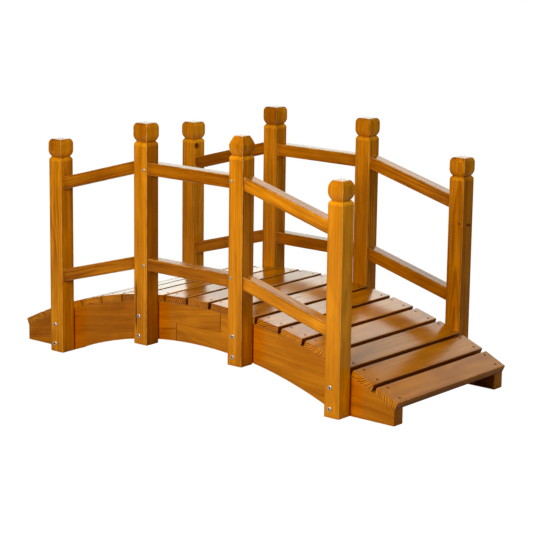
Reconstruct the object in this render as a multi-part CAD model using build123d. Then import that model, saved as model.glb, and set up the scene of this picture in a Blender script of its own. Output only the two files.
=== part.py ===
from build123d import *
import math
import os

# Arched garden footbridge in varnished softwood, free standing.
# X runs along the bridge, Y across it, Z up. The origin is the centre of
# the footprint on the ground. The near side is at negative Y.
# All sizes are in millimetres.

# Side beams
LENGTH = 1520.0         # beam end to beam end
BEAM_T = 42.0           # beam thickness across the bridge
BEAM_END_H = 49.0       # height of the upright end cut
BEAM_CROWN = 232.0      # top of the beam at mid span
SOFFIT_CROWN = 112.0    # underside of the beam at mid span
FOOT_LENGTH = 215.0     # flat part of the underside at each end
LAP_LOW_X = -90.0       # upright seam in the lower half of the joint
LAP_HIGH_X = 92.0       # upright seam in the upper half of the joint
LAP_RISE = 55.0         # level seam, above the soffit's crown
SEAM_BEVEL = 0.8        # eased edges along the seams

# Deck
DECK_WIDTH = 570.0      # board length, equal to the width over the beams
BOARD_COUNT = 17
BOARD_W = 82.0
BOARD_T = 23.0
BOARD_ROUND = 3.0       # rounding of the long top edges

# Posts
POST = 55.0             # square section
POST_ROUND = 3.0        # rounding of the upright edges
POST_END_INSET = 186.0  # beam end to the centre of an end post
MID_BAY = 394.0         # between the centres of the middle posts
MID_FOOT_DROP = 7.9     # foot of a middle post below the soffit
FAR_MID_LOWER = 3.0     # far middle posts are set this much lower
POST_H = 706.0          # overall, foot to flat top
FAR_SHORT = 5.5         # the far posts are this much shorter
SHOULDER_DROP = 71.5    # top to where the shaft starts to round in
NECK_DROP = 57.5        # top to the crease under the finial

# Each post was drilled and bolted by hand, so it stands a little off its
# even place along the beam, from left to right.
NEAR_OFFSETS = [2.0, 2.0, -1.0, -2.0]
FAR_OFFSETS = [20.0, 9.0, 0.0, -7.0]

# Finials, each shaped by hand. Every pair is a distance in from the face
# of the post and a drop from the flat top: the crease, the middle of the
# low curve, the waist with its two drops, then the curve or bevel to the
# flat top.
SQUARE_TOP = {
    "neck": 6.8,
    "low": (1.5, 48.3),
    "waist": (-0.6, 35.0, 18.0),
    "high": [(0.3, 9.6), (2.9, 3.6), (5.4, 1.2), (9.0, 0.0)],
}
BEVEL_TOP = {
    "neck": 8.7,
    "low": (2.7, 47.3),
    "waist": (0.0, 33.0, 26.0),
    "high": [(4.9, 12.6), (11.4, 0.0)],
}
BALL_TOP = {
    "neck": 8.1,
    "low": (2.1, 47.0),
    "waist": (-0.4, 33.0, 26.0),
    "high": [(2.1, 10.6), (9.0, 0.0)],
}
NEAR_TOPS = [SQUARE_TOP, SQUARE_TOP, BEVEL_TOP, BALL_TOP]
FAR_TOPS = [SQUARE_TOP] * 4

# Rails
RAIL_W = 42.0           # across the bridge
RAIL_H = 40.0
RAIL_ROUND = 3.5
RAIL_UPPER_DROP = 141.0 # rail centre below the flat top of each post
RAIL_LOWER = 260.0      # rail centre above the foot of each post
TENON_W = 22.0
TENON_H = 26.0
TENON_L = 24.0

# Bolt heads on the outer faces of the posts
BOLT_LOW = 27.0         # above the foot of the post
BOLT_HIGH = 92.0
BOLT_SHIFT = -6.0       # off the centre line of the post
BOLT_HEAD_D = 14.4
BOLT_HEAD_H = 3.6
BOLT_BEVEL = 1.4
SOCKET_AF = 5.0
SOCKET_DEPTH = 2.0

# Worked out from the values above
HALF = LENGTH / 2
Y_OUT = DECK_WIDTH / 2
Y_IN = Y_OUT - BEAM_T
Y_POST = Y_OUT + POST / 2
Y_FACE = Y_OUT + POST
RISE = BEAM_CROWN - BEAM_END_H
R_TOP = (HALF**2 + RISE**2) / (2 * RISE)
Z_TOP_C = BEAM_CROWN - R_TOP
END_ANGLE = math.asin(HALF / R_TOP)
EDGE_ANGLE = math.atan(BOARD_W / 2 / R_TOP)
SIDE_COUNT = (BOARD_COUNT - 1) // 2
STEP = (END_ANGLE - EDGE_ANGLE) / SIDE_COUNT
SPRING = HALF - FOOT_LENGTH
R_SOFFIT = (SPRING**2 + SOFFIT_CROWN**2) / (2 * SOFFIT_CROWN)
LAP_Z = SOFFIT_CROWN + LAP_RISE
POST_END_X = HALF - POST_END_INSET
POST_MID_X = MID_BAY / 2
MID_SAG = R_SOFFIT - math.sqrt(R_SOFFIT**2 - POST_MID_X**2)
MID_FOOT_Z = SOFFIT_CROWN - MID_SAG - MID_FOOT_DROP


def prism_y(face, y0, y1):
    """Extrude a face drawn in X and Z from y0 to y1."""
    solid = extrude(face, amount=abs(y1 - y0), dir=(0, 1, 0))
    return Pos(0, min(y0, y1), 0) * solid


def box(x0, x1, y0, y1, z0, z1):
    """An upright box from its low and high corners."""
    size = (x1 - x0, y1 - y0, z1 - z0)
    mid = ((x0 + x1) / 2, (y0 + y1) / 2, (z0 + z1) / 2)
    return Pos(*mid) * Box(*size)


def seat_points():
    """Corners of the flats under the boards, from left to right."""
    radius = R_TOP / math.cos(STEP / 2)
    points = []
    for k in range(-SIDE_COUNT, SIDE_COUNT):
        a = (k + 0.5) * STEP
        points.append((radius * math.sin(a), Z_TOP_C + radius * math.cos(a)))
    a = SIDE_COUNT * STEP
    end_z = Z_TOP_C + R_TOP / math.cos(a) - HALF * math.tan(a)
    return [(-HALF, end_z)] + points + [(HALF, end_z)]


def beam_face():
    """Side view of a whole beam: flat feet, arched soffit, faceted top."""
    top = [Vector(x, 0, z) for x, z in seat_points()]
    edges = [Edge.make_line(a, b) for a, b in zip(top, top[1:])]
    foot_r = Vector(HALF, 0, 0)
    spring_r = Vector(SPRING, 0, 0)
    spring_l = Vector(-SPRING, 0, 0)
    foot_l = Vector(-HALF, 0, 0)
    crown = Vector(0, 0, SOFFIT_CROWN)
    edges.append(Edge.make_line(top[-1], foot_r))
    edges.append(Edge.make_line(foot_r, spring_r))
    edges.append(Edge.make_three_point_arc(spring_r, crown, spring_l))
    edges.append(Edge.make_line(spring_l, foot_l))
    edges.append(Edge.make_line(foot_l, top[0]))
    return Face(Wire(edges))


def post_spots(side):
    """Centre X and foot height of the four posts on one side."""
    even = (-POST_END_X, -POST_MID_X, POST_MID_X, POST_END_X)
    offsets = NEAR_OFFSETS if side < 0 else FAR_OFFSETS
    mid = MID_FOOT_Z - (FAR_MID_LOWER if side > 0 else 0)
    feet = (0.0, mid, mid, 0.0)
    return [(x + d, f) for x, d, f in zip(even, offsets, feet)]


def post_height(side):
    """Overall height of the posts on one side."""
    return POST_H - (FAR_SHORT if side > 0 else 0)


def bolt_spots(side):
    """X and Z of every beam bolt on one side of the bridge."""
    spots = []
    for x, foot in post_spots(side):
        for h in (BOLT_LOW, BOLT_HIGH):
            spots.append((x + BOLT_SHIFT, foot + h))
    return spots


def ease_seam(half):
    """Bevel the seam's edges on both faces of half a beam."""
    edges = []
    for e in half.edges():
        c = e.center()
        on_face = min(abs(abs(c.Y) - Y_OUT), abs(abs(c.Y) - Y_IN)) < 0.01
        low = abs(c.X - LAP_LOW_X) < 0.01
        high = abs(c.X - LAP_HIGH_X) < 0.01
        level = abs(c.Z - LAP_Z) < 0.01
        if on_face and (low or high or level):
            edges.append(e)
    return chamfer(edges, SEAM_BEVEL)


def make_beams(side):
    """Left and right halves of a beam, with the stepped lap joint."""
    y0, y1 = sorted((side * Y_IN, side * Y_OUT))
    whole = prism_y(beam_face(), y0, y1)
    wide = (y0 - 5, y1 + 5)
    big = HALF + 50
    left_zone = box(-big, LAP_LOW_X, *wide, -50, 500)
    left_zone += box(LAP_LOW_X - 1, LAP_HIGH_X, *wide, LAP_Z, 500)
    left = whole & left_zone
    right = whole - left_zone
    return ease_seam(left), ease_seam(right)


def finial_face(top, height):
    """Side view of a post, foot at zero, with the profiled top."""
    h = POST / 2
    shoulder_z = height - SHOULDER_DROP
    neck_z = height - NECK_DROP
    neck = h - top["neck"]
    waist = h - top["waist"][0]
    edges = []

    def v(x, z):
        return Vector(x, 0, z)

    def from_top(pair, s):
        return v(s * (h - pair[0]), height - pair[1])

    drop = neck_z - 0.9 - shoulder_z
    inset = h - neck - 0.4
    radius = (drop**2 + inset**2) / (2 * inset)
    part = drop * 0.55
    mid_in = radius - math.sqrt(radius**2 - part**2)
    for s in (1, -1):
        start = v(s * h, shoulder_z)
        mid = v(s * (h - mid_in), shoulder_z + part)
        under = v(s * (neck + 0.4), neck_z - 0.9)
        crease = v(s * neck, neck_z)
        side_low = v(s * waist, height - top["waist"][1])
        side_high = v(s * waist, height - top["waist"][2])
        edges.append(Edge.make_line(v(s * h, 0), start))
        edges.append(Edge.make_three_point_arc(start, mid, under))
        edges.append(Edge.make_line(under, crease))
        low = from_top(top["low"], s)
        edges.append(Edge.make_three_point_arc(crease, low, side_low))
        edges.append(Edge.make_line(side_low, side_high))
        last = side_high
        for i in range(0, len(top["high"]), 2):
            mid = from_top(top["high"][i], s)
            end = from_top(top["high"][i + 1], s)
            edges.append(Edge.make_three_point_arc(last, mid, end))
            last = end
    edge_x = h - top["high"][-1][0]
    edges.append(Edge.make_line(v(edge_x, height), v(-edge_x, height)))
    edges.append(Edge.make_line(v(-h, 0), v(h, 0)))
    return Face(Wire(edges))


def post_blank(top, height):
    """A post before its mortises, standing at the origin."""
    one = prism_y(finial_face(top, height), -POST, POST)
    two = Rot(0, 0, 90) * one
    neck_z = height - NECK_DROP
    square = RectangleRounded(POST + 0.2, POST + 0.2, POST_ROUND)
    limit = extrude(square, amount=neck_z)
    limit += box(-POST, POST, -POST, POST, neck_z, height + 5)
    return one & two & limit


def rail_heights(side):
    """Centres of the lower and upper rails above the foot of each post."""
    return RAIL_LOWER, post_height(side) - RAIL_UPPER_DROP


def rail_line(bay, height, side):
    """Ends of a rail between post faces, and the height of its centre."""
    spots = post_spots(side)
    (xa, fa), (xb, fb) = spots[bay], spots[bay + 1]
    start = (xa + POST / 2, fa + height)
    end = (xb - POST / 2, fb + height)
    return start, end


def bar(start, end, y, width, depth, x0, x1, rounding):
    """A straight bar on the line start to end, cut upright at x0, x1."""
    (ax, az), (bx, bz) = start, end
    run, fall = bx - ax, bz - az
    length = math.hypot(run, fall)
    along = Vector(run / length, 0, fall / length)
    extra = 80.0
    origin = Vector(ax, y, az) - along * extra
    plane = Plane(origin=origin, x_dir=(0, 1, 0), z_dir=along)
    if rounding:
        shape = RectangleRounded(width, depth, rounding)
    else:
        shape = Rectangle(width, depth)
    solid = extrude(plane * shape, amount=length + 2 * extra)
    return solid & box(x0, x1, y - 60, y + 60, -200, 1200)


def make_tenons(bay, height, side):
    """The rail's core, reaching into the posts at both ends."""
    y = side * Y_POST
    start, end = rail_line(bay, height, side)
    x0, x1 = start[0] - TENON_L, end[0] + TENON_L
    return bar(start, end, y, TENON_W, TENON_H, x0, x1, 0)


def make_rail(bay, height, side):
    """One rail with a tenon at each end."""
    y = side * Y_POST
    start, end = rail_line(bay, height, side)
    body = bar(start, end, y, RAIL_W, RAIL_H, start[0], end[0], RAIL_ROUND)
    return body + make_tenons(bay, height, side)


def make_post(index, side):
    """One post in place, with its mortises."""
    x, foot = post_spots(side)[index]
    tops = NEAR_TOPS if side < 0 else FAR_TOPS
    blank = post_blank(tops[index], post_height(side))
    post = Pos(x, side * Y_POST, foot) * blank
    for bay in (index - 1, index):
        if 0 <= bay <= 2:
            for height in rail_heights(side):
                post -= make_tenons(bay, height, side)
    return post


def make_board(number):
    """A deck board lying flat on its seat, number 1 at the left."""
    a = (number - 1 - SIDE_COUNT) * STEP
    blank = Pos(0, 0, BOARD_T / 2) * Box(BOARD_W, DECK_WIDTH, BOARD_T)
    tops = blank.edges().filter_by(Axis.Y).sort_by(Axis.Z)[-2:]
    blank = fillet(tops, BOARD_ROUND)
    seat = Pos(0, 0, R_TOP)
    turn = Rot(0, math.degrees(a), 0)
    return Pos(0, 0, Z_TOP_C) * turn * seat * blank


def make_bolt(x, z, side):
    """Round socket head seated on the outer face of a post."""
    base = (Align.CENTER, Align.CENTER, Align.MIN)
    head = Cylinder(BOLT_HEAD_D / 2, BOLT_HEAD_H, align=base)
    head = chamfer(head.edges().sort_by(Axis.Z)[-1], BOLT_BEVEL)
    socket = RegularPolygon(SOCKET_AF / 2, 6, major_radius=False)
    head -= Pos(0, 0, BOLT_HEAD_H - SOCKET_DEPTH) * extrude(socket, amount=5)
    return Pos(x, side * Y_FACE, z) * Rot(-90 * side, 0, 0) * head


def write(name, solids):
    """Write one node, from one solid or a list of them."""
    if not isinstance(solids, list):
        solids = [solids]
    flat = []
    for s in solids:
        flat.extend(s.solids())
    shape = flat[0] if len(flat) == 1 else Compound(children=flat)
    shape.label = name
    export_step(shape, "parts/" + name + ".step")


def main():
    os.makedirs("parts", exist_ok=True)
    for word, side in (("near", -1), ("far", 1)):
        left, right = make_beams(side)
        write(word + "_beam_left", left)
        write(word + "_beam_right", right)
        for i in range(4):
            write(word + "_post_" + str(i + 1), make_post(i, side))
        for level, height in zip(("lower", "upper"), rail_heights(side)):
            for bay in range(3):
                name = word + "_" + level + "_rail_" + str(bay + 1)
                write(name, make_rail(bay, height, side))
        bolts = [make_bolt(x, z, side) for x, z in bolt_spots(side)]
        write(word + "_beam_bolts", bolts)
    for n in range(1, BOARD_COUNT + 1):
        write("deck_board_%02d" % n, make_board(n))


main()
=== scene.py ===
"""Varnished softwood garden bridge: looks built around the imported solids."""
import math

import bpy
import numpy as np
from mathutils import Matrix, Vector


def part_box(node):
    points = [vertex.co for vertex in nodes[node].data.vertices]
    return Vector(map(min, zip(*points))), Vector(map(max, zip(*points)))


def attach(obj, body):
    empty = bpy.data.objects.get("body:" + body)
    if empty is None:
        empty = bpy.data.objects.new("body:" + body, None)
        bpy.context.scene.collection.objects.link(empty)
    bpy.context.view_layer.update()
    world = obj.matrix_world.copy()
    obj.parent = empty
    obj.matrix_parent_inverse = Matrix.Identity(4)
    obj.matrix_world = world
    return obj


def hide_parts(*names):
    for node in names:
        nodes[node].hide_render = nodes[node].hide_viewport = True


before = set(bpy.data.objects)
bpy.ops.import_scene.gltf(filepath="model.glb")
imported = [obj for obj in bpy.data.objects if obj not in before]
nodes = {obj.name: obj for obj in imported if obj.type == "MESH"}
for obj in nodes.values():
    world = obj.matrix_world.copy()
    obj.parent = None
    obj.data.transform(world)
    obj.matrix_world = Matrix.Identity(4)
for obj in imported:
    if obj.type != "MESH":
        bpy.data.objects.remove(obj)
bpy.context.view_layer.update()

# Photograph's frame, in pixels, and the camera found from it
FRAME_PX = 533.0
CAMERA_AT = (3.9497, -4.7498, 1.6592)
CAMERA_YAW = math.radians(39.464)
CAMERA_PITCH = math.radians(12.252)
CAMERA_ROLL = math.radians(0.731)
CAMERA_F_PX = 1966.1
SENSOR = 36.0

# Sizes shared with the solids, in metres and radians
BOARD_COUNT = 17
BOARD_W = 0.082
BOARD_T = 0.023
DECK_HALF = 0.285
BEAM_T = 0.042
POST_HALF = 0.0275
POST_FACE_Y = 0.340
RAIL_W = 0.042
RAIL_H = 0.040
TENON = 0.024
# the end rails' slope, near enough to give the height of their upright cuts
END_SLOPE = 0.27
# below a post's top: the finial's crease, and the shoulder's lower edge
NECK_DROP = 0.0575
SHOULDER_DROP = 0.0715
# the beams' underside is a circle through its two springings and its crown
ARCH_HALF = 0.545
ARCH_CROWN = 0.112
ARCH_RADIUS = (ARCH_HALF**2 + ARCH_CROWN**2) / (2 * ARCH_CROWN)
# the circle that carries the boards, and how far round it the end boards lie
SEAT_RADIUS = 1.66964
END_TILT = 0.44743
# the beams' stepped seam: its lower and its upper upright, and its level
LAP_LOW_X = -0.090
LAP_HIGH_X = 0.092
LAP_Z = 0.167
# between these distances from the middle line a beam's outer half starts
OUTER_HALF_Y = (0.26, 0.27)

# Fasteners, in metres: a bolt from its post's middle, and up from its foot
BOLT_X = -0.006
BOLT_UPS = (0.027, 0.092)
# the middle rails' screws: post, place across its face, and up from its foot
RAIL_SCREWS = ((2, 0.015, (0.257, 0.562)), (3, -0.018, (0.272, 0.569)))
# deck screws from a board's middle, along and across the bridge
SCREW_ALONG = (-0.027, 0.025)
SCREW_ACROSS = (-0.251, 0.258)
# how far off those places a screw may be driven, along and across
ALONG_SLIP = 0.003
ACROSS_SLIP = 0.004
# heads are turned by any part of this, in radians
WHOLE_TURN = 6.28
# a head's faces that meet more steeply than this show an edge
SHARP = math.radians(38)

# Seeds of the random draws
TIMBER_SEED = 41
FASTENER_SEED = 7


class Net:
    """Short calls for building a shader tree."""

    def __init__(self, tree):
        self.tree = tree
        tree.nodes.clear()

    def node(self, kind, inputs=(), **settings):
        """A new node: its settings, then its inputs by order or by name, each
        linked where it is given a socket and set where it is given a value."""
        made = self.tree.nodes.new(kind)
        for key, value in settings.items():
            setattr(made, key, value)
        pairs = inputs.items() if isinstance(inputs, dict) else enumerate(inputs)
        for key, value in pairs:
            if isinstance(value, bpy.types.NodeSocket):
                self.tree.links.new(value, made.inputs[key])
            else:
                made.inputs[key].default_value = value
        return made

    def math(self, op, *values, clamp=False):
        return self.node("ShaderNodeMath", values, operation=op, use_clamp=clamp).outputs[0]

    def product(self, first, *others):
        for other in others:
            first = self.math("MULTIPLY", first, other)
        return first

    def vector(self, op, *values):
        made = self.node("ShaderNodeVectorMath", values, operation=op)
        return made.outputs[1 if op in ("LENGTH", "DOT_PRODUCT") else 0]

    def axes(self, vec):
        """The x, y and z of a vector."""
        return self.node("ShaderNodeSeparateXYZ", (vec,)).outputs

    def here(self):
        """The shaded point in the bridge's own frame."""
        return self.node("ShaderNodeTexCoord").outputs["Object"]

    def normal(self):
        """Which way the surface faces."""
        return self.node("ShaderNodeNewGeometry").outputs["Normal"]

    def noise(self, vec, scale, detail, rough=0.5, warp=0.0, output=0):
        """Noise at one scale, or at one for each axis. Output 0 is a number
        about a half, output 1 three such numbers."""
        if isinstance(scale, tuple):
            vec, scale = self.vector("MULTIPLY", vec, scale), 1.0
        return self.node("ShaderNodeTexNoise", {
            "Vector": vec, "Scale": scale, "Detail": detail,
            "Roughness": rough, "Distortion": warp,
        }).outputs[output]

    def swing(self, noise, reach):
        """A noise number taken from its middle value, times a reach."""
        return self.product(self.math("SUBTRACT", noise, 0.5), reach)

    def span(self, value, a, b, c=0.0, d=1.0, kind="SMOOTHSTEP"):
        """Map the range a to b onto c to d, held at the ends."""
        made = self.node("ShaderNodeMapRange", (value, a, b, c, d), interpolation_type=kind)
        return made.outputs[0]

    def mix(self, amount, a, b, kind="MIX"):
        """Colour a taken to colour b by an amount."""
        made = self.node("ShaderNodeMix", {0: amount, 6: a, 7: b},
                         data_type="RGBA", blend_type=kind)
        return made.outputs[2]


def rgb(r, g, b):
    """Display values from 0 to 255 as a linear colour."""
    c = np.array([r, g, b]) / 255.0
    c = np.where(c <= 0.04045, c / 12.92, ((c + 0.055) / 1.055) ** 2.4)
    return (float(c[0]), float(c[1]), float(c[2]), 1.0)


# Stain on early and late wood, linear
PALE = np.array((0.86, 0.345, 0.0110))
DARK = np.array((0.30, 0.076, 0.0010))
# as the stain gets darker, green and blue fall by these powers of the red
GREEN_POWER = 1.3
BLUE_POWER = 1.6
# paler arrises: wear, and a painted highlight along them
PALE_EDGE_WEAR_AND_HIGHLIGHT = rgb(250, 196, 104)
STREAK_BROWN = rgb(40, 20, 4)
KNOT_PALE = rgb(158, 86, 18)
KNOT_DARK = rgb(112, 56, 10)
KNOT_RIM = rgb(86, 42, 8)
# painted shade in the hollow of a head's socket
SOCKET_SHADE = rgb(52, 32, 20)
WHITE = (1.0, 1.0, 1.0, 1.0)

# Noise in the wood, in waves a metre along the grain and twice across it
FIBRES = (14.0, 620.0, 620.0)
STREAKS = (3.0, 150.0, 150.0)
BANDS = (1.6, 44.0, 44.0)
BLOTCHES = (4.5, 13.0, 13.0)
PORES = (45.0, 1500.0, 1500.0)
RING_BENDS = (2.6, 9.0, 9.0)
# how far the growth rings are bent, in metres along and across
BEND_REACH = (0.0, 0.016, 0.016)

# a length beyond any member's, where a member has no end or streak of its own
BEYOND = 9.0
NO_STREAK = (0.0, 0.0, BEYOND)
NO_KNOT = ((0, 0, 0), (0, 1, 0), 0.0)
# a point this near a face, in metres, is on it
ON_FACE = 0.0006
# depth of the grain's relief, in metres
RELIEF = 0.0004

VECTOR, NUMBER, COLOUR = "NodeSocketVector", "NodeSocketFloat", "NodeSocketColor"
WOOD_INPUTS = {
    "Place": VECTOR, "Shift": VECTOR, "Grain way": VECTOR, "Pith": VECTOR, "Ring": NUMBER,
    "Knot": VECTOR, "Knot way": VECTOR, "Knot size": NUMBER, "Streak": VECTOR,
    "Pale": COLOUR, "Dark": COLOUR, "Figure": NUMBER, "Fibres": NUMBER,
    "Edge": NUMBER, "Edge wear and highlight": NUMBER, "Shade": NUMBER, "Warm and bounced light": NUMBER,
}
WOOD_OUTPUTS = {"Color": COLOUR, "Height": NUMBER, "Gloss": NUMBER}


def stained(colour, tone):
    """A base colour taken darker or paler: tone as it is for red, and to a
    higher power for green and blue."""
    return (*(colour * np.array((tone, tone**GREEN_POWER, tone**BLUE_POWER))), 1.0)


def knot_nearness(n, into, moved):
    """Distance from the knot's own axis in knot radii, with a rough edge,
    and whether there is a knot at all. The distance is the length of the
    cross product of the knot's direction and the way from its point."""
    off = n.vector("SUBTRACT", into["Place"], into["Knot"])
    apart = n.vector("LENGTH", n.vector("CROSS_PRODUCT", off, into["Knot way"]))
    near_knot = n.math("DIVIDE", apart, n.math("MAXIMUM", into["Knot size"], 0.0001))
    near_knot = n.product(near_knot, n.span(n.noise(moved, 160.0, 2.0), 0.3, 0.7, 0.85, 1.2))
    return near_knot, n.math("GREATER_THAN", into["Knot size"], 0.0005)


def late_wood(n, into, moved, near_knot, has_knot):
    """How far a point is into the dark band of its ring, from 0 to 1. The
    distance from the pith grows a little along the grain, with a falling
    exponential of the square of the distance from a knot, and by a width
    that differs from year to year."""
    bend = n.noise(moved, RING_BENDS, 2.0, output=1)
    bend = n.vector("MULTIPLY", n.vector("SUBTRACT", bend, (0.5, 0.5, 0.5)), BEND_REACH)
    from_pith = n.vector("SUBTRACT", n.vector("ADD", into["Place"], bend), into["Pith"])
    radius = n.vector("LENGTH", n.vector("MULTIPLY", from_pith, (0.0, 1.0, 1.0)))
    radius = n.math("ADD", radius, n.product(n.axes(from_pith)[0], 0.005))
    swell = n.product(n.math("EXPONENT", n.product(near_knot, near_knot, -0.28)), has_knot)
    radius = n.math("ADD", radius, n.product(swell, n.product(into["Knot size"], 1.2)))
    year = n.node("ShaderNodeCombineXYZ", (n.product(radius, 80.0), 0.0, 0.0)).outputs[0]
    radius = n.math("ADD", radius, n.product(n.noise(year, 1.0, 1.0), 0.008))
    share = n.math("FRACT", n.math("DIVIDE", radius, into["Ring"]))
    return n.product(n.span(share, 0.25, 0.88), n.span(share, 1.0, 0.93))


def dark_streak(n, into, bands, streaks):
    """How much of the dark streak shows, from 0 to 1: along a line of fibres
    beside the given point, strongest there and gone a little way off."""
    line, own = n.axes(into["Streak"]), n.axes(into["Place"])
    aside = n.math("SUBTRACT", n.math("ADD", own[1], n.swing(bands, 0.008)), line[1])
    aside = n.math("ABSOLUTE", aside)
    back = n.math("ABSOLUTE", n.math("SUBTRACT", own[2], line[2]))
    reach = n.math("ABSOLUTE", n.math("SUBTRACT", own[0], line[0]))
    return n.product(
        n.span(aside, 0.0055, 0.0016), n.span(reach, 0.095, 0.050), n.span(back, 0.02, 0.008),
        n.span(streaks, 0.3, 0.55, 0.55, 0.95))


def wood_group():
    """Sawn softwood as a solid pattern. In a member's own coordinates x runs
    along the grain. Growth rings are cylinders about the pith: the distance
    from the pith, bent by slow noise and pushed out round knots, is divided
    by the ring width, and the share of a ring that has passed gives pale
    early wood, then a dark band. Fibres are noise drawn out along x."""
    tree = bpy.data.node_groups.new("softwood", "ShaderNodeTree")
    for way, sockets in (("INPUT", WOOD_INPUTS), ("OUTPUT", WOOD_OUTPUTS)):
        for name, kind in sockets.items():
            tree.interface.new_socket(name, in_out=way, socket_type=kind)
    n = Net(tree)
    into = n.node("NodeGroupInput").outputs
    moved = n.vector("ADD", into["Place"], into["Shift"])
    near_knot, has_knot = knot_nearness(n, into, moved)
    late = late_wood(n, into, moved, near_knot, has_knot)

    # fibres, streaks and slow bands, all drawn out along the grain
    fibres = n.noise(moved, FIBRES, 2.0, 0.6)
    streaks = n.noise(moved, STREAKS, 3.0, 0.6)
    bands = n.noise(moved, BANDS, 2.0)
    blotches = n.noise(moved, BLOTCHES, 3.0, 0.55, 0.7)
    pores = n.noise(moved, PORES, 1.0)

    # end grain: rings and stain show much more strongly
    end = n.math("ABSOLUTE", n.vector("DOT_PRODUCT", n.normal(), into["Grain way"]))
    end = n.span(end, 0.8, 0.97)
    figure = n.math("ADD", into["Figure"], n.product(end, 1.7))
    depth = n.product(n.math("SUBTRACT", late, 0.3), figure)
    lines = n.math("ADD", n.swing(streaks, 1.25), n.swing(bands, 1.0))
    lines = n.math("ADD", lines, n.swing(fibres, 0.7))
    depth = n.math("ADD", depth, n.product(lines, into["Fibres"]))
    depth = n.math("ADD", depth, 0.36, clamp=True)
    colour = n.mix(depth, into["Pale"], into["Dark"])

    # the tone: darker in pores, and painted shade in a band just inside the edges
    edge = into["Edge"]
    tone = n.product(
        n.span(blotches, 0.28, 0.72, 0.84, 1.12), n.span(pores, 0.64, 0.74, 1.0, 0.80),
        n.span(end, 0.0, 1.0, 1.0, 1.04), into["Shade"], n.span(edge, 0.0015, 0.010, 0.86, 1.0))
    # a redder colour: redder stain, and painted light bounced off the posts
    less = n.span(into["Warm and bounced light"], 0.0, 1.0, 1.0, 0.70, "LINEAR")
    more = n.span(into["Warm and bounced light"], 0.0, 1.0, 1.0, 1.08, "LINEAR")
    tones = n.node("ShaderNodeCombineXYZ", (
        n.product(tone, more),
        n.product(n.math("POWER", tone, GREEN_POWER), less),
        n.product(n.math("POWER", tone, BLUE_POWER), less),
    )).outputs[0]
    colour = n.mix(1.0, colour, tones, "MULTIPLY")

    # the edges are painted paler in patches: wear, and a painted highlight along the arris
    patch = n.span(n.noise(moved, 42.0, 3.0), 0.32, 0.62, 0.25, 1.0)
    wear_and_highlight_mask = n.product(n.span(edge, 0.0026, 0.0008), patch, into["Edge wear and highlight"])
    colour = n.mix(wear_and_highlight_mask, colour, PALE_EDGE_WEAR_AND_HIGHLIGHT)
    colour = n.mix(dark_streak(n, into, bands, streaks), colour, STREAK_BROWN)

    # the knot: dark rim, redder heart with its own small rings
    rings = n.math("SINE", n.product(near_knot, 13.0))
    heart = n.mix(n.span(rings, -1.0, 1.0), KNOT_PALE, KNOT_DARK)
    knot_in = n.product(n.span(near_knot, 1.08, 0.86), has_knot)
    rim = n.product(n.span(near_knot, 1.6, 1.0), n.span(near_knot, 0.7, 0.95), has_knot)
    colour = n.mix(knot_in, colour, heart)
    colour = n.mix(n.product(rim, 0.55), colour, KNOT_RIM)

    height = n.math("ADD", n.product(late, 0.35), n.product(fibres, 0.7))
    height = n.math("SUBTRACT", height, n.product(knot_in, 0.4))
    gloss = n.math("ADD", n.product(streaks, 0.5), n.product(blotches, 0.5))
    n.node("NodeGroupOutput", (colour, height, gloss))
    return tree


SOFTWOOD = wood_group()


def new_material(name):
    """An empty material, and the net that fills it."""
    mat = bpy.data.materials.new(name)
    mat.use_nodes = True
    return mat, Net(mat.node_tree)


def along(x_axis, y_axis):
    """Turn from a member's own axes to the bridge's, as a rotation matrix."""
    x = Vector(x_axis).normalized()
    y = Vector(y_axis).normalized()
    return Matrix((x, y, x.cross(y))).transposed()


def climbing(angle):
    """Turn of a member whose grain climbs at an angle along the bridge."""
    return along((math.cos(angle), 0, math.sin(angle)), (0, 1, 0))


def depths(n, place, half):
    """Depth below each pair of a member's faces, by its own axes."""
    return n.axes(n.vector("SUBTRACT", half, n.vector("ABSOLUTE", place)))


def bar_edge(n, place, half):
    """Distance from the nearest edge of a square-cut bar. A point on a side
    face has one of the two cross depths at zero, so their difference is its
    distance from the long edge. On a cut end that is put out of reach, and
    the end's edge is as far as the larger of the end depth and the smaller
    cross depth."""
    d = depths(n, place, half)
    long_edge = n.math("ABSOLUTE", n.math("SUBTRACT", d[1], d[2]))
    skin = n.math("MINIMUM", d[1], d[2])
    at_end = n.product(n.span(d[0], ON_FACE, 0.0), n.span(skin, 0.0, ON_FACE))
    long_edge = n.math("ADD", long_edge, at_end)
    return n.math("MINIMUM", long_edge, n.math("MAXIMUM", d[0], skin))


def arch_edge(n, place, half):
    """Distance from the lower edge of a beam's faces: the larger of the
    depth below the side face and the height above the arched underside,
    where the underside's height is zero or that of its circle."""
    own = n.axes(n.here())
    square = n.math("SUBTRACT", ARCH_RADIUS**2, n.product(own[0], own[0]))
    arch = n.math("SUBTRACT", n.math("SQRT", square), ARCH_RADIUS - ARCH_CROWN)
    above = n.math("SUBTRACT", own[2], n.math("MAXIMUM", arch, 0.0))
    return n.math("MAXIMUM", depths(n, place, half)[1], above)


def joint_shade(n, place, half, _):
    """Darker stain and painted shade in the last few millimetres before a rail's shoulder,
    where it meets its post.
    """
    left = depths(n, place, half)[0]
    return n.product(n.span(left, 0.0, 0.0035, 0.45, 1.0), n.span(left, 0.0, 0.035, 0.86, 1.0))


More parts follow.
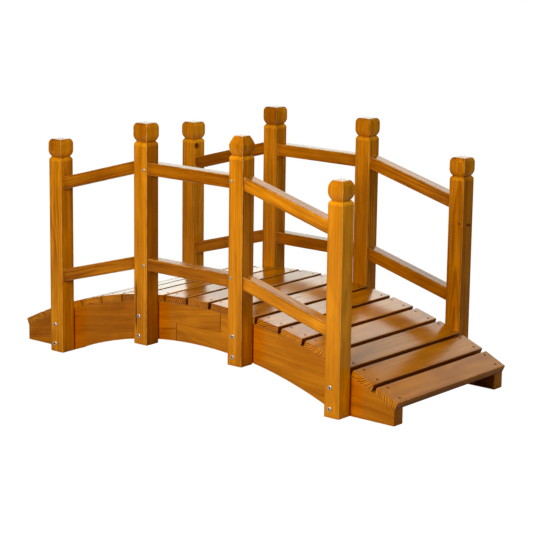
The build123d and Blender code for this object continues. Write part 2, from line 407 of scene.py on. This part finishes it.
def post_shade(n, place, half, amount):
    """Painted light and shade on a post's faces: amount gives the shaft's right face, the
    finial's near face and the finial's right face, each against the near face, as light
    falls on them. The crease is darker with painted shade, and the shoulder below it paler."""
    shaft_right, cap_near, cap_right = amount
    x = n.axes(place)[0]
    crease = half[0] - NECK_DROP
    low = half[0] - SHOULDER_DROP
    # painted light and shade by which way a face points
    right = n.span(n.math("ABSOLUTE", n.axes(n.normal())[0]), 0.45, 0.75)
    shaft = n.span(right, 0.0, 1.0, 1.0, shaft_right, "LINEAR")
    cap = n.span(right, 0.0, 1.0, cap_near, cap_right, "LINEAR")
    over = n.span(x, crease - 0.001, crease + 0.004)
    tone = n.math("ADD", shaft, n.product(over, n.math("SUBTRACT", cap, shaft)))
    near = n.math("ABSOLUTE", n.math("SUBTRACT", x, crease))
    shoulder = n.product(
        n.span(x, low - 0.001, low + 0.002), n.span(x, crease - 0.002, crease - 0.005))
    return n.product(
        tone, n.span(near, 0.0, 0.004, 0.72, 1.0), n.span(shoulder, 0.0, 1.0, 1.0, 1.22))


def seam_shade(n, place, half, amount):
    """A thin dark line along the stepped seam between a beam's halves: up to
    the level of the step, along it, and on up at its other end. Shade is also
    painted in the corners beside the posts, on the beam's outer half; their side
    and middles are given in amount."""
    x, y, z = n.axes(n.here())
    over = n.math("SUBTRACT", z, LAP_Z)

    def upright(at, top):
        """Distance from one upright of the seam, and far off past its end."""
        off = n.math("ABSOLUTE", n.math("SUBTRACT", x, at))
        return n.math("ADD", off, n.span(over, 0.0, top))

    uprights = n.math("MINIMUM", upright(LAP_LOW_X, 0.001), upright(LAP_HIGH_X, -0.001))
    mid = (LAP_LOW_X + LAP_HIGH_X) / 2
    step_half = LAP_HIGH_X - mid
    aside = n.math("ABSOLUTE", n.math("SUBTRACT", x, mid))
    past = n.span(aside, step_half, step_half + 0.0015)
    level = n.math("ADD", n.math("ABSOLUTE", over), past)

    side, middles = amount
    # painted shade in the corners beside each post
    corner = 1.0
    for middle in middles:
        off = n.math("ABSOLUTE", n.math("SUBTRACT", x, middle))
        off = n.math("ABSOLUTE", n.math("SUBTRACT", off, POST_HALF))
        corner = n.math("MINIMUM", corner, off)
    outer = n.span(n.product(y, side), *OUTER_HALF_Y)
    corner = n.math(
        "MAXIMUM", n.span(corner, 0.0, 0.006, 0.30, 1.0), n.math("SUBTRACT", 1.0, outer))
    return n.product(
        corner, n.span(uprights, 0.0006, 0.0030, 0.56, 1.0),
        n.span(level, 0.0006, 0.0022, 0.88, 1.0))


def beam_warmth_and_bounced_light(n, amount):
    """How red a beam is: redder stain a little all over the left half, and a painted
    glow of warm light bounced off each post just past its right side."""
    x = n.axes(n.here())[0]
    warm = n.span(x, -0.05, -0.15, 0.0, 0.10)
    # painted light bounced from each post's right face
    for middle in amount[1]:
        past = n.math("SUBTRACT", x, middle + POST_HALF)
        patch = n.product(
            n.math("GREATER_THAN", past, -0.01), n.span(past, 0.0, 0.075, 0.55, 0.0))
        warm = n.math("MAXIMUM", warm, patch)
    return warm


def board_shade(n, place, half, amount):
    """Painted shade on a board's long sides, down to the first amount low in
    the gaps, and darker stain on its ends by the second. The lowest edge has
    painted shade too."""
    gap_shade_tone, end_tone = amount
    d = depths(n, place, half)
    z = n.axes(place)[2]
    low = n.span(z, -half[2] * 0.2, half[2] * 0.8, gap_shade_tone, min(1.0, gap_shade_tone * 1.5))
    # painted shade on the long sides, deepest low in the gaps
    side = n.product(n.span(d[1], 0.0, ON_FACE, 1.0, 0.0), n.math("SUBTRACT", 1.0, low))
    return n.product(
        n.math("SUBTRACT", 1.0, side), n.span(d[0], 0.0, ON_FACE, end_tone, 1.0),
        n.span(z, -half[2], -half[2] + 0.003, 0.5, 1.0))


def varnished(name, centre, turn, half, rng, tone, edge_wear_and_highlight, shade, amount=None, warm=None,
              edge=bar_edge, figure=0.30, fibres=1.0, ring=0.0032, pith=None, knot=NO_KNOT,
              streak=NO_STREAK, gloss=0.16, ior=1.4, bump=0.2):
    """Stained and varnished softwood for one member. centre and turn place
    its own axes, with x along the grain, and half is its half size in them.
    Two numbers give how much its edges are painted paler, as wear and as a painted highlight,
    below the shoulder and above it.
    knot is a point, a direction and a radius in those axes."""
    mat, n = new_material(name)
    place = n.node("ShaderNodeMapping", {
        "Vector": n.here(), "Location": centre, "Rotation": turn.to_euler(),
    }, vector_type="TEXTURE").outputs[0]
    angle = rng.uniform(0, 2 * math.pi)
    away = rng.uniform(0.035, 0.12)
    shift = tuple(rng.uniform(-40, 40, 3))
    ring *= rng.uniform(0.8, 1.25)
    pith = pith or (away * math.cos(angle), away * math.sin(angle))
    knot_at, knot_way, knot_size = knot
    shoulder = half[0] - SHOULDER_DROP
    colour, height, uneven = n.node("ShaderNodeGroup", {
        "Place": place, "Shift": shift, "Grain way": turn.col[0],
        "Pith": (0.0, *pith), "Ring": ring,
        "Knot": knot_at, "Knot way": tuple(Vector(knot_way).normalized()),
        "Knot size": knot_size, "Streak": streak,
        "Pale": stained(PALE, tone), "Dark": stained(DARK, tone),
        "Figure": figure, "Fibres": fibres,
        "Edge": edge(n, place, half),
        "Edge wear and highlight": n.span(n.axes(place)[0], shoulder - 0.02, shoulder, *edge_wear_and_highlight),
        "Shade": shade(n, place, half, amount),
        "Warm and bounced light": warm(n, amount) if warm else 0.0,
    }, node_tree=SOFTWOOD).outputs
    relief = n.node("ShaderNodeBump", {"Height": height, "Strength": bump, "Distance": RELIEF})
    shader = n.node("ShaderNodeBsdfPrincipled", {
        "Base Color": colour, "IOR": ior, "Normal": relief.outputs[0],
        "Roughness": n.span(uneven, 0.3, 0.7, gloss * 0.75, gloss * 1.35),
    })
    n.node("ShaderNodeOutputMaterial", (shader.outputs[0],))
    return mat


def post_row(word):
    """Which way a row of posts faces, and each post's middle x and foot z."""
    boxes = [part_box("%s_post_%d" % (word, i)) for i in range(1, 5)]
    return (-1 if word == "near" else 1), [((low.x + high.x) / 2, low.z) for low, high in boxes]


def board_frames():
    """Tilt and seat centre of every board: even steps along the circle that
    carries the seats, from minus to plus the end board's tilt."""
    tilts = np.linspace(-END_TILT, END_TILT, BOARD_COUNT)
    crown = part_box("deck_board_09")[0].z
    x = SEAT_RADIUS * np.sin(tilts)
    z = crown - SEAT_RADIUS + SEAT_RADIUS * np.cos(tilts)
    return tilts, np.stack([x, 0 * x, z], axis=-1)


def dress(name, material):
    """Give a solid its material in every slot."""
    data = nodes[name].data
    data.materials.clear()
    data.materials.append(material)


# Tones of the stain, where they aren't the usual one
USUAL_TONE = 0.72
TONES = {
    "near_post_1": 0.95, "near_post_2": 0.86, "near_post_3": 0.88, "near_post_4": 0.97,
    "far_post_1": 0.92, "far_post_2": 0.91, "far_post_3": 0.80, "far_post_4": 0.85,
    "near_beam_left": 0.68, "near_beam_right": 0.74,
    "far_beam_left": 0.74, "far_beam_right": 0.78,
    "near_upper_rail_1": 0.56, "near_upper_rail_2": 0.56, "near_upper_rail_3": 0.82,
    "near_lower_rail_1": 0.66, "near_lower_rail_2": 0.66, "near_lower_rail_3": 1.0,
    "far_upper_rail_1": 0.56, "far_lower_rail_1": 0.74, "far_lower_rail_2": 0.60,
}

# Posts: painted light and shade against the near face, on the shaft's right face and
# on the finial's near and right faces
POST_FACES = {
    "near_post_1": (1.0, 0.84, 1.25), "near_post_2": (0.78, 0.70, 1.20),
    "near_post_3": (1.0, 0.95, 0.95), "near_post_4": (1.38, 0.89, 1.20),
    "far_post_1": (1.45, 0.92, 1.60), "far_post_2": (1.15, 0.72, 1.25),
    "far_post_3": (1.4, 0.95, 1.65), "far_post_4": (1.0, 0.95, 1.3),
}
# how much rings and fibres show, where that isn't as on most posts
POST_FIGURES = {"far_post_3": 0.5, "near_post_4": 0.14}
POST_FIBRES = {"near_post_4": 0.38, "near_post_2": 0.6}
# paler edges, worn and with a painted highlight, on the shaft and on the finial
POST_EDGE_WEAR_AND_HIGHLIGHT = {"near": (0.3, 0.65), "far": (0.25, 0.3)}
# in a post's own axes: a knot's point, direction and radius, and a streak
KNOTS = {
    "far_post_1": ((0.270, 0.0275, -0.014), (0.15, 1.0, -0.45), 0.0085),
    "far_post_4": ((0.1437, 0.0153, -0.0275), (-0.0067, 0.0122, 0.0335), 0.0037),
}
DARK_STREAKS = {"near_post_2": (-0.225, -0.0176, -POST_HALF)}

# how steeply the grain of the left and right half beams climbs along x
BEAM_RISES = {"left": math.radians(10), "right": math.radians(-5)}

# Boards by number: where each was cut from its log, across and up from the
# board's middle
PITHS = {
    7: (0.11, -0.05), 8: (-0.12, -0.06), 9: (0.06, -0.03), 10: (-0.10, -0.09),
    11: (0.012, -0.05), 12: (-0.05, -0.10), 13: (-0.12, -0.11), 14: (0.05, 0.03),
}
# boards whose growth rings show more than on most
BOARD_FIGURES = {10: 0.25, 11: 0.55, 12: 0.25}
# the last board is a little darker than the usual one
BOARD_TONE = 0.84
BOARD_TONES = {17: 0.78}
# how dark a board's painted side shade and its end stain are, where not as on most
GAP_SHADE_TONES = {1: 0.85, 2: 0.6, 3: 0.6, 4: 0.6, 5: 0.6, 6: 0.55, 7: 0.5, 8: 0.45, 17: 0.85}
END_TONES = {6: 0.68, 7: 0.62, 8: 0.66, 9: 0.85, 10: 0.66, 12: 0.85}


def post_look(name, centre, size, rng):
    """Upright grain, and painted light and shade that differ from face to face."""
    return varnished(
        name, centre, along((0, 0, 1), (1, 0, 0)), (size.z / 2, POST_HALF, POST_HALF), rng,
        tone=TONES.get(name, USUAL_TONE), edge_wear_and_highlight=POST_EDGE_WEAR_AND_HIGHLIGHT[name.split("_")[0]],
        shade=post_shade, amount=POST_FACES[name],
        figure=POST_FIGURES.get(name, 0.30), fibres=POST_FIBRES.get(name, 0.85),
        knot=KNOTS.get(name, NO_KNOT), streak=DARK_STREAKS.get(name, NO_STREAK))


def rail_look(name, centre, size, rng):
    """Grain along the rail, which climbs in bay 1 and falls in bay 3. The
    slope is the arc tangent of its rise over its length between posts."""
    rise = size.z - RAIL_H / math.cos(END_SLOPE)
    slope = (2 - int(name[-1])) * math.atan(rise / (size.x - 2 * TENON))
    length = (size.x / 2 - TENON) / math.cos(slope)
    return varnished(
        name, centre, climbing(slope), (length, RAIL_W / 2, RAIL_H / 2), rng,
        tone=TONES.get(name, USUAL_TONE), edge_wear_and_highlight=(0.45, 0.45), shade=joint_shade, bump=0.07)


def beam_look(name, centre, size, rng):
    """Grain at a slant across the curve, since a beam is sawn from a plank."""
    row, _, end = name.split("_")
    side, posts = post_row(row)
    return varnished(
        name, centre, climbing(BEAM_RISES[end]), (BEYOND, BEAM_T / 2, BEYOND), rng,
        tone=TONES.get(name, USUAL_TONE), edge_wear_and_highlight=(0.3, 0.3),
        shade=seam_shade, amount=(side, [x for x, _ in posts]), warm=beam_warmth_and_bounced_light,
        edge=arch_edge, figure=0.12, fibres=0.68, ring=0.0045,
        pith=(0.15, rng.uniform(-0.3, -0.2)))


def board_look(name, centre, size, rng):
    """Grain across the bridge, in axes that lie flat on the board's seat."""
    number = int(name[-2:])
    tilts, seats = board_frames()
    a = tilts[number - 1]
    centre = Vector(seats[number - 1]) + Vector((math.sin(a), 0, math.cos(a))) * BOARD_T / 2
    return varnished(
        name, centre, along((0, 1, 0), (-math.cos(a), 0, math.sin(a))),
        (DECK_HALF, BOARD_W / 2, BOARD_T / 2), rng,
        tone=BOARD_TONES.get(number, BOARD_TONE) * rng.uniform(0.92, 1.08), edge_wear_and_highlight=(0.25, 0.25),
        shade=board_shade, amount=(GAP_SHADE_TONES.get(number, 0.32), END_TONES.get(number, 1.0)),
        figure=BOARD_FIGURES.get(number, 0.11), fibres=0.42, ring=0.0052,
        pith=PITHS.get(number), gloss=0.14, ior=1.55, bump=0.3)


LOOKS = {"post": post_look, "rail": rail_look, "beam": beam_look, "board": board_look}


def dress_timber():
    """A material for each wooden member, with the grain along it."""
    rng = np.random.default_rng(TIMBER_SEED)
    for name in sorted(nodes):
        kinds = [kind for kind in LOOKS if "_%s_" % kind in name]
        if kinds and not name.endswith("bolts"):
            low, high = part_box(name)
            dress(name, LOOKS[kinds[0]](name, (low + high) / 2, high - low, rng))


def metal(name, colour, other, rough, bright):
    """Plated steel with a faint uneven tint from colour to other, and painted
    shade where the surface is hollow."""
    mat, n = new_material(name)
    tint = n.noise(n.here(), 160.0, 3.0)
    plate = n.mix(n.span(tint, 0.35, 0.65), colour, other)
    openness = n.node("ShaderNodeAmbientOcclusion", {"Distance": 0.006},
                      only_local=True, samples=8).outputs["AO"]
    shader = n.node("ShaderNodeBsdfPrincipled", {
        "Base Color": n.mix(n.span(openness, 0.35, 0.85), SOCKET_SHADE, plate),
        "Metallic": bright, "Roughness": n.span(tint, 0.2, 0.8, rough * 0.8, rough * 1.3),
    })
    n.node("ShaderNodeOutputMaterial", (shader.outputs[0],))
    return mat


def ring_points(turn, radii, heights):
    """Points of rings about z: a ring's radii times the cosine and the sine
    of the turn, at that ring's height."""
    return np.stack([
        radii * np.cos(turn), radii * np.sin(turn),
        np.broadcast_to(heights[:, None], radii.shape),
    ], axis=-1)


def head_profile(radius, height, socket, depth, angles=36, crown_rings=7):
    """A round button head with a hexagon socket, as rings of points. On each
    ring the distance from the axis is a circle's or, at the socket, that of a
    hexagon's side: apothem over the cosine of the angle from the nearest flat's
    middle. The crown between rim and socket follows a quarter ellipse."""
    turn = np.linspace(0, 2 * np.pi, angles, endpoint=False)
    flat = (turn + np.pi / 6) % (np.pi / 3) - np.pi / 6
    hexagon = socket / 2 / np.cos(flat)
    circle = np.ones((1, angles))
    rim = height * 0.32
    inner = socket * 0.72
    arc = np.linspace(0, 1, crown_rings)[:, None] * np.pi / 2
    crown_r = inner + (radius - inner) * np.cos(arc)
    crown_h = rim + (height - rim) * np.sin(arc)
    radii = np.vstack([
        radius * 0.97 * circle, radius * circle, crown_r * circle,
        hexagon * 1.04, hexagon, hexagon, hexagon * 0.55,
    ])
    heights = np.concatenate([
        [0.0, rim * 0.25], crown_h[:, 0],
        [height, height - 0.05 * depth, height - depth, height - depth * 1.12],
    ])
    return ring_points(turn, radii, heights)


def cross_profile(radius, height, arm, depth, angles=48):
    """A nearly flat countersunk screw head with a cross recess. The recess
    rim is a four-lobed curve: half an arm's width over the sine of the angle
    from the nearest arm, held to the arm's length and to a least radius."""
    turn = np.linspace(0, 2 * np.pi, angles, endpoint=False)
    fold = np.abs((turn + np.pi / 4) % (np.pi / 2) - np.pi / 4)
    lobe = np.minimum(arm, arm * 0.26 / np.maximum(np.sin(fold), 0.02))
    lobe = np.maximum(lobe, arm * 0.3)
    circle = radius * np.ones(angles)
    radii = np.stack([circle * 0.9, circle, circle * 0.86, lobe * 1.08, lobe, lobe * 0.55])
    heights = np.array([-0.2, 0.35, 1.0, 0.98, 0.9, 0.0]) * height
    heights[-1] -= depth
    return ring_points(turn, radii, heights)


def heads(name, profile, places, turns, axes, material):
    """Copies of a head: each ring point p goes to place + p turned about the
    head's own axis and then set along its axes. Rings are joined by quads and
    closed by one face at each end."""
    rings, angles = profile.shape[:2]
    places, axes = np.array(places, float), np.array(axes, float)
    c, s = np.cos(turns)[:, None, None], np.sin(turns)[:, None, None]
    x, y, z = np.moveaxis(profile[None], -1, 0)
    u, v = x * c - y * s, x * s + y * c
    local = np.stack([u, v, np.broadcast_to(z, u.shape)], axis=-1)
    points = places[:, None, None] + np.einsum("nrak,nkx->nrax", local, axes)

    # faces of one head by its point numbers, then stepped on for every copy
    a = np.arange(angles)
    b = (a + 1) % angles
    ring = np.arange(rings - 1)[:, None] * angles
    quads = np.stack([ring + a, ring + b, ring + b + angles, ring + a + angles], axis=-1)
    start = np.arange(len(places))[:, None] * rings * angles
    quads = (quads.reshape(-1, 4) + start[:, None]).reshape(-1, 4)
    base = start + a[::-1]
    top = start + a + (rings - 1) * angles
    mesh = bpy.data.meshes.new(name)
    mesh.from_pydata(points.reshape(-1, 3), [], quads.tolist() + base.tolist() + top.tolist())
    mesh.shade_smooth()
    mesh.set_sharp_from_angle(angle=SHARP)
    mesh.materials.append(material)
    piece = bpy.data.objects.new(name, mesh)
    bpy.context.scene.collection.objects.link(piece)
    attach(piece, "root")
    return piece


def facing(normal, across):
    """Rows are a head's own x, y and z in the bridge's axes."""
    z = np.array(normal, float)
    x = np.array(across, float)
    return np.stack([x, np.cross(z, x), z])


def make_post_fasteners(rng, zinc, dull_zinc):
    """Bolt heads and rail screws, each seated on its post's outer face."""
    button = head_profile(radius=0.0072, height=0.0036, socket=0.0060, depth=0.0031)
    small = head_profile(radius=0.0054, height=0.0026, socket=0.0040, depth=0.0021)
    for word in ("near", "far"):
        side, posts = post_row(word)
        # the way each row's heads point, from the wood out
        out = facing((0, side, 0), (-side, 0, 0))
        y = side * POST_FACE_Y
        bolts = [(x + BOLT_X, y, foot + up) for x, foot in posts for up in BOLT_UPS]
        turns = rng.uniform(0, WHOLE_TURN, len(bolts))
        piece = heads(word + "_bolt_heads", button, bolts, turns, [out] * len(bolts), zinc)
        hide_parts(word + "_beam_bolts")
        screws = []
        for number, across, ups in RAIL_SCREWS:
            x, foot = posts[number - 1]
            screws += [(x + across, y, foot + up) for up in ups]
        turns = rng.uniform(0, WHOLE_TURN, len(screws))
        heads(word + "_rail_screws", small, screws, turns, [out] * len(screws), dull_zinc)


def make_deck_screws(rng, steel):
    """Two screws near each end of every board, driven a little unevenly."""
    tilts, seats = board_frames()
    spots, ways = [], []
    for a, seat in zip(tilts, seats):
        along_x = np.array([np.cos(a), 0, -np.sin(a)])
        up = np.array([np.sin(a), 0, np.cos(a)])
        for u in SCREW_ALONG:
            for v in SCREW_ACROSS:
                u1 = u + rng.uniform(-ALONG_SLIP, ALONG_SLIP)
                v1 = v + rng.uniform(-ACROSS_SLIP, ACROSS_SLIP)
                spots.append(seat + along_x * u1 + up * BOARD_T + np.array([0, v1, 0]))
                ways.append(facing(up, along_x))
    cross = cross_profile(radius=0.0040, height=0.0004, arm=0.0024, depth=0.0009)
    heads("deck_screws", cross, spots, rng.uniform(0, WHOLE_TURN, len(spots)), ways, steel)


def make_fasteners():
    """Every head, and the bolt nodes dressed as the heads that replace them."""
    zinc = metal("zinc plate", rgb(236, 230, 222), rgb(206, 196, 176), 0.35, 0.6)
    dull_zinc = metal("dull zinc plate", rgb(216, 208, 190), rgb(190, 180, 158), 0.4, 0.6)
    steel = metal("dull screw steel", rgb(40, 27, 15), rgb(66, 47, 27), 0.7, 0.1)
    for name in ("near_beam_bolts", "far_beam_bolts"):
        dress(name, zinc)
    rng = np.random.default_rng(FASTENER_SEED)
    make_post_fasteners(rng, zinc, dull_zinc)
    make_deck_screws(rng, steel)


# The pale panel behind, as the varnish mirrors it
PANEL_TINT = (0.92, 1.0, 0.95, 1.0)
# level ways from the bridge: to the panel's middle, which is straight away
# from the camera, and to where the floor is mirrored, which is further left
PANEL_WAY = (-0.64, 0.77, 0.0)
FLOOR_WAY = (-0.9, 0.44, 0.0)
FLOOR_HALF = 30.0
FLOOR_GREY = (0.3, 0.3, 0.3, 1.0)
# how brightly the floor glows to the camera, and in the varnish's mirror
FLOOR_GLOW = 1.03
FLOOR_SHEEN = 1.40
# how bright the surround is where the panel isn't
SURROUND = 0.06
# lights: name, place, point aimed at, side of the square in metres, watts
LIGHTS = (
    ("front softbox", (0.55, -2.7, 1.5), (0, 0, 0.4), 1.3, 82),
    ("right fill", (3.4, 0.2, 1.6), (0, 0, 0.3), 1.6, 22),
    ("ceiling softbox", (0.2, 0.0, 3.2), (0, 0, 0), 1.4, 14),
)


def make_floor():
    """A floor that glows white to the camera. To the lights it is a matt
    grey, and in the varnish's mirror it glows only behind the bridge."""
    h = FLOOR_HALF
    mesh = bpy.data.meshes.new("floor")
    mesh.from_pydata([(-h, -h, 0), (h, -h, 0), (h, h, 0), (-h, h, 0)], [], [(0, 1, 2, 3)])
    floor = bpy.data.objects.new("floor", mesh)
    bpy.context.scene.collection.objects.link(floor)
    mat, n = new_material("white floor")
    paths = n.node("ShaderNodeLightPath").outputs
    seen, mirrored = paths["Is Camera Ray"], paths["Is Glossy Ray"]
    matt = n.node("ShaderNodeBsdfDiffuse", {"Color": FLOOR_GREY}).outputs[0]
    glow = n.node("ShaderNodeEmission", {
        "Color": n.mix(seen, PANEL_TINT, WHITE),
        "Strength": n.span(mirrored, 0.0, 1.0, FLOOR_GLOW, FLOOR_SHEEN, "LINEAR"),
    }).outputs[0]
    place = n.here()
    behind = n.product(
        mirrored, n.product(n.span(n.vector("DOT_PRODUCT", place, FLOOR_WAY), 0.5, 1.5),
                            n.span(n.axes(place)[1], 0.3, 1.0)))
    amount = n.product(n.math("MAXIMUM", seen, behind), 0.97)
    both = n.node("ShaderNodeMixShader", (amount, matt, glow)).outputs[0]
    n.node("ShaderNodeOutputMaterial", (both,))
    mesh.materials.append(mat)


def make_surround():
    """A surround that is white to the camera. Otherwise it is dim but for a
    pale panel behind the bridge, whose brightness changes with height."""
    world = bpy.data.worlds.new("pale surround")
    bpy.context.scene.world = world
    world.use_nodes = True
    n = Net(world.node_tree)
    way = n.node("ShaderNodeTexCoord").outputs["Generated"]
    behind = n.span(n.vector("DOT_PRODUCT", way, PANEL_WAY), 0.35, 0.85)
    height = n.axes(way)[2]
    panel = n.math("SUBTRACT", n.span(height, 0.23, 0.33, 1.45, 2.5),
                   n.span(height, 0.42, 0.68, 0.0, 2.1))
    panel = n.math("ADD", panel, n.span(height, 0.19, 0.11, 0.0, 0.45))
    level = n.math("ADD", n.product(behind, panel), SURROUND)
    seen = n.node("ShaderNodeLightPath").outputs["Is Camera Ray"]
    back = n.node("ShaderNodeBackground", {
        "Color": n.mix(seen, PANEL_TINT, WHITE), "Strength": n.math("MAXIMUM", level, seen),
    }).outputs[0]
    n.node("ShaderNodeOutputWorld", (back,))


def make_lights():
    """Square soft lights, each turned to the point it is aimed at."""
    for name, at, look, size, power in LIGHTS:
        light = bpy.data.lights.new(name, "AREA")
        light.shape, light.size, light.energy = "SQUARE", size, power
        lamp = bpy.data.objects.new(name, light)
        lamp.location = at
        lamp.rotation_euler = (Vector(look) - Vector(at)).to_track_quat("-Z", "Y").to_euler()
        bpy.context.scene.collection.objects.link(lamp)


def make_camera():
    """The camera of the photograph: yaw from Y, pitch down, then roll."""
    cy, sy = math.cos(CAMERA_YAW), math.sin(CAMERA_YAW)
    cp, sp = math.cos(CAMERA_PITCH), math.sin(CAMERA_PITCH)
    ahead = Vector((-sy * cp, cy * cp, -sp))
    right = Vector((cy, sy, 0))
    up = right.cross(ahead)
    cr, sr = math.cos(CAMERA_ROLL), math.sin(CAMERA_ROLL)
    right, up = cr * right + sr * up, -sr * right + cr * up
    turn = Matrix((right, up, -ahead)).transposed().to_4x4()
    data = bpy.data.cameras.new("camera")
    data.sensor_width = SENSOR
    data.sensor_fit = "HORIZONTAL"
    data.lens = CAMERA_F_PX / FRAME_PX * SENSOR
    data.clip_end = 100
    camera = bpy.data.objects.new("camera", data)
    camera.matrix_world = Matrix.Translation(CAMERA_AT) @ turn
    bpy.context.scene.collection.objects.link(camera)
    bpy.context.scene.camera = camera


def set_display():
    """Plain colours, a touch deeper, with the darkest taken down to black."""
    view = bpy.context.scene.view_settings
    view.view_transform = "Standard"
    view.gamma = 0.9
    view.use_curve_mapping = True
    view.curve_mapping.black_level = (0.004, 0.004, 0.004)
    view.curve_mapping.update()


dress_timber()
make_fasteners()
make_floor()
make_surround()
make_lights()
make_camera()
set_display()
